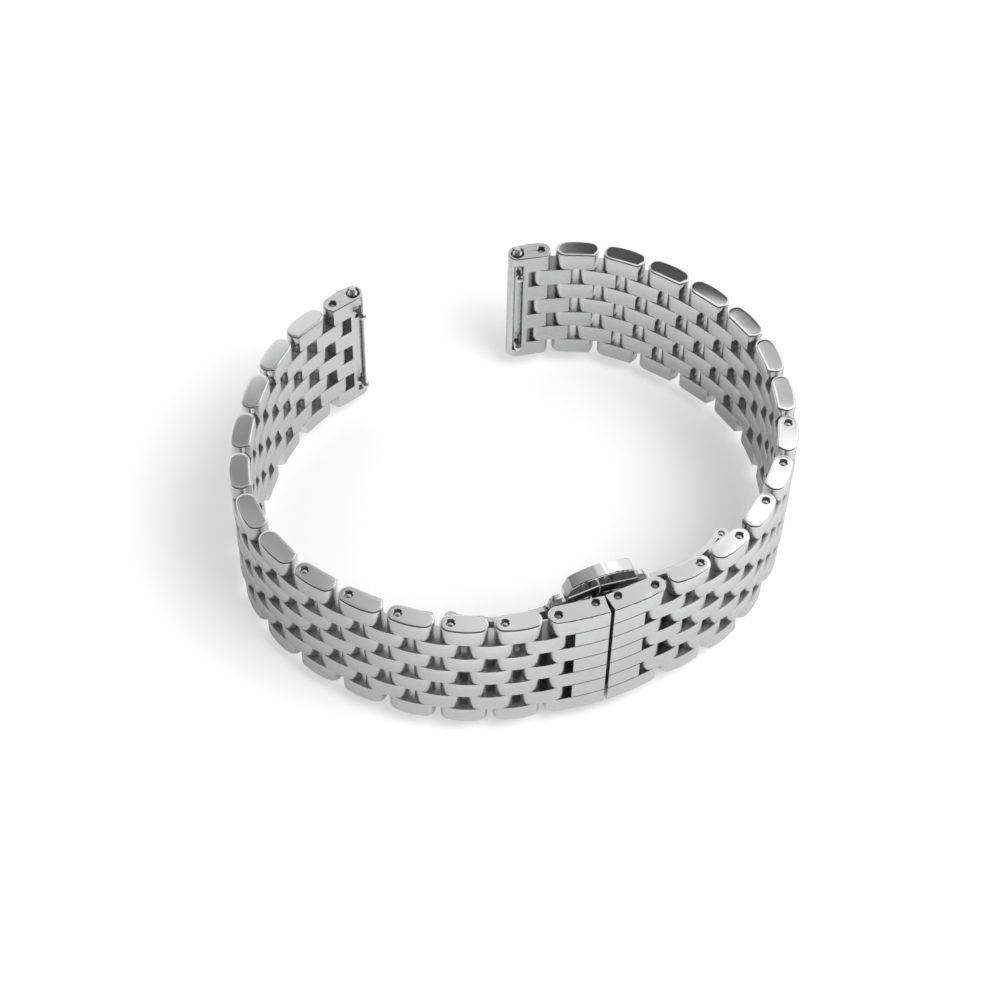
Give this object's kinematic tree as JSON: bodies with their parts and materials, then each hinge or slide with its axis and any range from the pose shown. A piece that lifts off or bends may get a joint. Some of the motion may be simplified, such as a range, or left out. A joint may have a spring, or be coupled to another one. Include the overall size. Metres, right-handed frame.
{
  "type": "watch bracelet",
  "caption": "Brick-pattern metal watch bracelet of hinged links, with a two-blade folding clasp, push buttons at both edges and quick-release spring bars.",
  "frame": {"origin": "centre of the bounding box in plan, on the surface that the lower button stands on", "axes": "+Z along every hinge pin, up from the edge the bracelet stands on; +Y from the clasp towards the opening for the watch; +X towards the right half"},
  "size_m": [0.072, 0.0638, 0.0262],
  "materials": {
    "link_steel": "satin with polished edges",
    "clasp_sheet": "fine brushed",
    "polished_button": "polished",
    "spring_bar_tip": "turned"
  },
  "bodies": {
    "clasp_plate": {"clasp_plate": "clasp_sheet"},
    "upper_button": {"upper_button": "polished_button"},
    "lower_button": {"lower_button": "polished_button"},
    "right_blade": {"right_blade": "clasp_sheet"},
    "right_cover": {"right_cover": "link_steel"},
    "right_wide_01": {"right_wide_01": "link_steel"},
    "right_narrow_01": {"right_narrow_01": "link_steel"},
    "right_wide_02": {"right_wide_02": "link_steel"},
    "right_narrow_02": {"right_narrow_02": "link_steel"},
    "right_wide_03": {"right_wide_03": "link_steel"},
    "right_narrow_03": {"right_narrow_03": "link_steel"},
    "right_wide_04": {"right_wide_04": "link_steel"},
    "right_narrow_04": {"right_narrow_04": "link_steel"},
    "right_wide_05": {"right_wide_05": "link_steel"},
    "right_narrow_05": {"right_narrow_05": "link_steel"},
    "right_wide_06": {"right_wide_06": "link_steel"},
    "right_narrow_06": {"right_narrow_06": "link_steel"},
    "right_wide_07": {"right_wide_07": "link_steel"},
    "right_narrow_07": {"right_narrow_07": "link_steel"},
    "right_wide_08": {"right_wide_08": "link_steel"},
    "right_narrow_08": {"right_narrow_08": "link_steel"},
    "right_wide_09": {"right_wide_09": "link_steel"},
    "right_narrow_09": {"right_narrow_09": "link_steel"},
    "right_wide_10": {"right_wide_10": "link_steel"},
    "right_narrow_10": {"right_narrow_10": "link_steel"},
    "right_wide_11": {"right_wide_11": "link_steel"},
    "right_narrow_11": {"right_narrow_11": "link_steel"},
    "right_wide_12": {"right_wide_12": "link_steel"},
    "right_end_link": {"right_end_link": "link_steel"},
    "right_upper_tip": {"right_upper_tip": "spring_bar_tip"},
    "right_lower_tip": {"right_lower_tip": "spring_bar_tip"},
    "left_blade": {"left_blade": "clasp_sheet"},
    "left_cover": {"left_cover": "link_steel"},
    "left_wide_01": {"left_wide_01": "link_steel"},
    "left_narrow_01": {"left_narrow_01": "link_steel"},
    "left_wide_02": {"left_wide_02": "link_steel"},
    "left_narrow_02": {"left_narrow_02": "link_steel"},
    "left_wide_03": {"left_wide_03": "link_steel"},
    "left_narrow_03": {"left_narrow_03": "link_steel"},
    "left_wide_04": {"left_wide_04": "link_steel"},
    "left_narrow_04": {"left_narrow_04": "link_steel"},
    "left_wide_05": {"left_wide_05": "link_steel"},
    "left_narrow_05": {"left_narrow_05": "link_steel"},
    "left_wide_06": {"left_wide_06": "link_steel"},
    "left_narrow_06": {"left_narrow_06": "link_steel"},
    "left_wide_07": {"left_wide_07": "link_steel"},
    "left_narrow_07": {"left_narrow_07": "link_steel"},
    "left_wide_08": {"left_wide_08": "link_steel"},
    "left_narrow_08": {"left_narrow_08": "link_steel"},
    "left_wide_09": {"left_wide_09": "link_steel"},
    "left_narrow_09": {"left_narrow_09": "link_steel"},
    "left_wide_10": {"left_wide_10": "link_steel"},
    "left_narrow_10": {"left_narrow_10": "link_steel"},
    "left_wide_11": {"left_wide_11": "link_steel"},
    "left_narrow_11": {"left_narrow_11": "link_steel"},
    "left_wide_12": {"left_wide_12": "link_steel"},
    "left_end_link": {"left_end_link": "link_steel"},
    "left_upper_tip": {"left_upper_tip": "spring_bar_tip"},
    "left_lower_tip": {"left_lower_tip": "spring_bar_tip"}
  },
  "joints": [
    {"name": "upper_button_press", "type": "slide", "parent": "clasp_plate", "child": "upper_button", "axis": [0, 0, -1], "range_m": [0, 0.0012], "stiffness_N_per_m": 3000},
    {"name": "lower_button_press", "type": "slide", "parent": "clasp_plate", "child": "lower_button", "axis": [0, 0, 1], "range_m": [0, 0.0012], "stiffness_N_per_m": 3000},
    {"name": "right_blade_swing", "type": "hinge", "parent": "clasp_plate", "child": "right_blade", "pos_m": [0.0257, -0.01451, 0.0131], "axis": [0, 0, 1], "range_deg": [0, 165]},
    {"name": "right_cover_turn", "type": "hinge", "parent": "right_blade", "child": "right_cover", "pos_m": [0.01261, -0.02592, 0.0131], "axis": [0, 0, 1], "range_deg": [-165, 0]},
    {"name": "right_wide_01_hinge", "type": "hinge", "parent": "right_cover", "child": "right_wide_01", "pos_m": [0.01994, -0.02257, 0.0131], "axis": [0, 0, 1], "range_deg": [-12.5, 0]},
    {"name": "right_narrow_01_hinge", "type": "hinge", "parent": "right_wide_01", "child": "right_narrow_01", "pos_m": [0.02268, -0.02082, 0.0131], "axis": [0, 0, -1], "range_deg": [0, 15.5]},
    {"name": "right_wide_02_hinge", "type": "hinge", "parent": "right_narrow_01", "child": "right_wide_02", "pos_m": [0.02524, -0.01882, 0.0131], "axis": [0, 0, 1], "range_deg": [-15.5, 4]},
    {"name": "right_narrow_02_hinge", "type": "hinge", "parent": "right_wide_02", "child": "right_narrow_02", "pos_m": [0.0276, -0.01658, 0.0131], "axis": [0, 0, -1], "range_deg": [-11, 19]},
    {"name": "right_wide_03_hinge", "type": "hinge", "parent": "right_narrow_02", "child": "right_wide_03", "pos_m": [0.02958, -0.014, 0.0131], "axis": [0, 0, 1], "range_deg": [-19, 11]},
    {"name": "right_narrow_03_hinge", "type": "hinge", "parent": "right_wide_03", "child": "right_narrow_03", "pos_m": [0.03113, -0.01115, 0.0131], "axis": [0, 0, -1], "range_deg": [-16, 14]},
    {"name": "right_wide_04_hinge", "type": "hinge", "parent": "right_narrow_03", "child": "right_wide_04", "pos_m": [0.03247, -0.00819, 0.0131], "axis": [0, 0, 1], "range_deg": [-14, 16]},
    {"name": "right_narrow_04_hinge", "type": "hinge", "parent": "right_wide_04", "child": "right_narrow_04", "pos_m": [0.03361, -0.00515, 0.0131], "axis": [0, 0, -1], "range_deg": [-12, 18]},
    {"name": "right_wide_05_hinge", "type": "hinge", "parent": "right_narrow_04", "child": "right_wide_05", "pos_m": [0.03432, -0.00197, 0.0131], "axis": [0, 0, 1], "range_deg": [-18, 12]},
    {"name": "right_narrow_05_hinge", "type": "hinge", "parent": "right_wide_05", "child": "right_narrow_05", "pos_m": [0.03457, 0.00127, 0.0131], "axis": [0, 0, -1], "range_deg": [-14, 16]},
    {"name": "right_wide_06_hinge", "type": "hinge", "parent": "right_narrow_05", "child": "right_wide_06", "pos_m": [0.03449, 0.00452, 0.0131], "axis": [0, 0, 1], "range_deg": [-16, 14]},
    {"name": "right_narrow_06_hinge", "type": "hinge", "parent": "right_wide_06", "child": "right_narrow_06", "pos_m": [0.03406, 0.00774, 0.0131], "axis": [0, 0, -1], "range_deg": [-14.5, 15.5]},
    {"name": "right_wide_07_hinge", "type": "hinge", "parent": "right_narrow_06", "child": "right_wide_07", "pos_m": [0.03333, 0.01091, 0.0131], "axis": [0, 0, 1], "range_deg": [-15.5, 14.5]},
    {"name": "right_narrow_07_hinge", "type": "hinge", "parent": "right_wide_07", "child": "right_narrow_07", "pos_m": [0.0323, 0.01399, 0.0131], "axis": [0, 0, -1], "range_deg": [-11, 19]},
    {"name": "right_wide_08_hinge", "type": "hinge", "parent": "right_narrow_07", "child": "right_wide_08", "pos_m": [0.0308, 0.01687, 0.0131], "axis": [0, 0, 1], "range_deg": [-19, 11]},
    {"name": "right_narrow_08_hinge", "type": "hinge", "parent": "right_wide_08", "child": "right_narrow_08", "pos_m": [0.02887, 0.01948, 0.0131], "axis": [0, 0, -1], "range_deg": [-13, 17]},
    {"name": "right_wide_09_hinge", "type": "hinge", "parent": "right_narrow_08", "child": "right_wide_09", "pos_m": [0.02663, 0.02184, 0.0131], "axis": [0, 0, 1], "range_deg": [-17, 13]},
    {"name": "right_narrow_09_hinge", "type": "hinge", "parent": "right_wide_09", "child": "right_narrow_09", "pos_m": [0.02412, 0.02391, 0.0131], "axis": [0, 0, -1], "range_deg": [-15.5, 14.5]},
    {"name": "right_wide_10_hinge", "type": "hinge", "parent": "right_narrow_09", "child": "right_wide_10", "pos_m": [0.02146, 0.02577, 0.0131], "axis": [0, 0, 1], "range_deg": [-14.5, 15.5]},
    {"name": "right_narrow_10_hinge", "type": "hinge", "parent": "right_wide_10", "child": "right_narrow_10", "pos_m": [0.01866, 0.02742, 0.0131], "axis": [0, 0, -1], "range_deg": [-14.5, 15.5]},
    {"name": "right_wide_11_hinge", "type": "hinge", "parent": "right_narrow_10", "child": "right_wide_11", "pos_m": [0.01571, 0.02879, 0.0131], "axis": [0, 0, 1], "range_deg": [-15.5, 14.5]},
    {"name": "right_narrow_11_hinge", "type": "hinge", "parent": "right_wide_11", "child": "right_narrow_11", "pos_m": [0.01265, 0.02988, 0.0131], "axis": [0, 0, -1], "range_deg": [-10.5, 19.5]},
    {"name": "right_wide_12_hinge", "type": "hinge", "parent": "right_narrow_11", "child": "right_wide_12", "pos_m": [0.00945, 0.03044, 0.0131], "axis": [0, 0, 1], "range_deg": [-19.5, 10.5]},
    {"name": "right_end_link_hinge", "type": "hinge", "parent": "right_wide_12", "child": "right_end_link", "pos_m": [0.0062, 0.03047, 0.0131], "axis": [0, 0, -1], "range_deg": [-13.5, 16.5]},
    {"name": "right_upper_tip_slide", "type": "slide", "parent": "right_end_link", "child": "right_upper_tip", "axis": [0, 0, -1], "range_m": [0, 0.001], "stiffness_N_per_m": 1500},
    {"name": "right_lower_tip_slide", "type": "slide", "parent": "right_end_link", "child": "right_lower_tip", "axis": [0, 0, 1], "range_m": [0, 0.001], "stiffness_N_per_m": 1500},
    {"name": "left_blade_swing", "type": "hinge", "parent": "clasp_plate", "child": "left_blade", "pos_m": [-0.0074, -0.02789, 0.0131], "axis": [0, 0, -1], "range_deg": [0, 165]},
    {"name": "left_cover_turn", "type": "hinge", "parent": "left_blade", "child": "left_cover", "pos_m": [0.00994, -0.027, 0.0131], "axis": [0, 0, -1], "range_deg": [-165, 0]},
    {"name": "left_wide_01_hinge", "type": "hinge", "parent": "left_cover", "child": "left_wide_01", "pos_m": [0.00233, -0.02965, 0.0131], "axis": [0, 0, -1], "range_deg": [-13, 0]},
    {"name": "left_narrow_01_hinge", "type": "hinge", "parent": "left_wide_01", "child": "left_narrow_01", "pos_m": [-0.00086, -0.03024, 0.0131], "axis": [0, 0, 1], "range_deg": [0, 16]},
    {"name": "left_wide_02_hinge", "type": "hinge", "parent": "left_narrow_01", "child": "left_wide_02", "pos_m": [-0.0041, -0.0305, 0.0131], "axis": [0, 0, -1], "range_deg": [-16, 4]},
    {"name": "left_narrow_02_hinge", "type": "hinge", "parent": "left_wide_02", "child": "left_narrow_02", "pos_m": [-0.00735, -0.03041, 0.0131], "axis": [0, 0, 1], "range_deg": [-13.5, 16.5]},
    {"name": "left_wide_03_hinge", "type": "hinge", "parent": "left_narrow_02", "child": "left_wide_03", "pos_m": [-0.01057, -0.02996, 0.0131], "axis": [0, 0, -1], "range_deg": [-16.5, 13.5]},
    {"name": "left_narrow_03_hinge", "type": "hinge", "parent": "left_wide_03", "child": "left_narrow_03", "pos_m": [-0.01372, -0.02914, 0.0131], "axis": [0, 0, 1], "range_deg": [-14.5, 15.5]},
    {"name": "left_wide_04_hinge", "type": "hinge", "parent": "left_narrow_03", "child": "left_wide_04", "pos_m": [-0.01677, -0.02803, 0.0131], "axis": [0, 0, -1], "range_deg": [-15.5, 14.5]},
    {"name": "left_narrow_04_hinge", "type": "hinge", "parent": "left_wide_04", "child": "left_narrow_04", "pos_m": [-0.0197, -0.02663, 0.0131], "axis": [0, 0, 1], "range_deg": [-16, 14]},
    {"name": "left_wide_05_hinge", "type": "hinge", "parent": "left_narrow_04", "child": "left_wide_05", "pos_m": [-0.02253, -0.02503, 0.0131], "axis": [0, 0, -1], "range_deg": [-14, 16]},
    {"name": "left_narrow_05_hinge", "type": "hinge", "parent": "left_wide_05", "child": "left_narrow_05", "pos_m": [-0.02524, -0.02324, 0.0131], "axis": [0, 0, 1], "range_deg": [-12.5, 17.5]},
    {"name": "left_wide_06_hinge", "type": "hinge", "parent": "left_narrow_05", "child": "left_wide_06", "pos_m": [-0.02769, -0.02111, 0.0131], "axis": [0, 0, -1], "range_deg": [-17.5, 12.5]},
    {"name": "left_narrow_06_hinge", "type": "hinge", "parent": "left_wide_06", "child": "left_narrow_06", "pos_m": [-0.02985, -0.01867, 0.0131], "axis": [0, 0, 1], "range_deg": [-12.5, 17.5]},
    {"name": "left_wide_07_hinge", "type": "hinge", "parent": "left_narrow_06", "child": "left_wide_07", "pos_m": [-0.03166, -0.01598, 0.0131], "axis": [0, 0, -1], "range_deg": [-17.5, 12.5]},
    {"name": "left_narrow_07_hinge", "type": "hinge", "parent": "left_wide_07", "child": "left_narrow_07", "pos_m": [-0.03312, -0.01307, 0.0131], "axis": [0, 0, 1], "range_deg": [-10.5, 19.5]},
    {"name": "left_wide_08_hinge", "type": "hinge", "parent": "left_narrow_07", "child": "left_wide_08", "pos_m": [-0.03407, -0.00996, 0.0131], "axis": [0, 0, -1], "range_deg": [-19.5, 10.5]},
    {"name": "left_narrow_08_hinge", "type": "hinge", "parent": "left_wide_08", "child": "left_narrow_08", "pos_m": [-0.03449, -0.00674, 0.0131], "axis": [0, 0, 1], "range_deg": [-14, 16]},
    {"name": "left_wide_09_hinge", "type": "hinge", "parent": "left_narrow_08", "child": "left_wide_09", "pos_m": [-0.03457, -0.00349, 0.0131], "axis": [0, 0, -1], "range_deg": [-16, 14]},
    {"name": "left_narrow_09_hinge", "type": "hinge", "parent": "left_wide_09", "child": "left_narrow_09", "pos_m": [-0.03432, -0.00025, 0.0131], "axis": [0, 0, 1], "range_deg": [-15.5, 14.5]},
    {"name": "left_wide_10_hinge", "type": "hinge", "parent": "left_narrow_09", "child": "left_wide_10", "pos_m": [-0.03381, 0.00296, 0.0131], "axis": [0, 0, -1], "range_deg": [-14.5, 15.5]},
    {"name": "left_narrow_10_hinge", "type": "hinge", "parent": "left_wide_10", "child": "left_narrow_10", "pos_m": [-0.03305, 0.00612, 0.0131], "axis": [0, 0, 1], "range_deg": [-14.5, 15.5]},
    {"name": "left_wide_11_hinge", "type": "hinge", "parent": "left_narrow_10", "child": "left_wide_11", "pos_m": [-0.03199, 0.00919, 0.0131], "axis": [0, 0, -1], "range_deg": [-15.5, 14.5]},
    {"name": "left_narrow_11_hinge", "type": "hinge", "parent": "left_wide_11", "child": "left_narrow_11", "pos_m": [-0.03065, 0.01215, 0.0131], "axis": [0, 0, 1], "range_deg": [-12, 18]},
    {"name": "left_wide_12_hinge", "type": "hinge", "parent": "left_narrow_11", "child": "left_wide_12", "pos_m": [-0.0289, 0.01489, 0.0131], "axis": [0, 0, -1], "range_deg": [-18, 12]},
    {"name": "left_end_link_hinge", "type": "hinge", "parent": "left_wide_12", "child": "left_end_link", "pos_m": [-0.02679, 0.01736, 0.0131], "axis": [0, 0, 1], "range_deg": [-14.5, 15.5]},
    {"name": "left_upper_tip_slide", "type": "slide", "parent": "left_end_link", "child": "left_upper_tip", "axis": [0, 0, -1], "range_m": [0, 0.001], "stiffness_N_per_m": 1500},
    {"name": "left_lower_tip_slide", "type": "slide", "parent": "left_end_link", "child": "left_lower_tip", "axis": [0, 0, 1], "range_m": [0, 0.001], "stiffness_N_per_m": 1500}
  ],
  "couplings": [
    {"joint": "right_cover_turn", "follows": "right_blade_swing", "ratio": -1},
    {"joint": "left_cover_turn", "follows": "left_blade_swing", "ratio": -1}
  ]
}
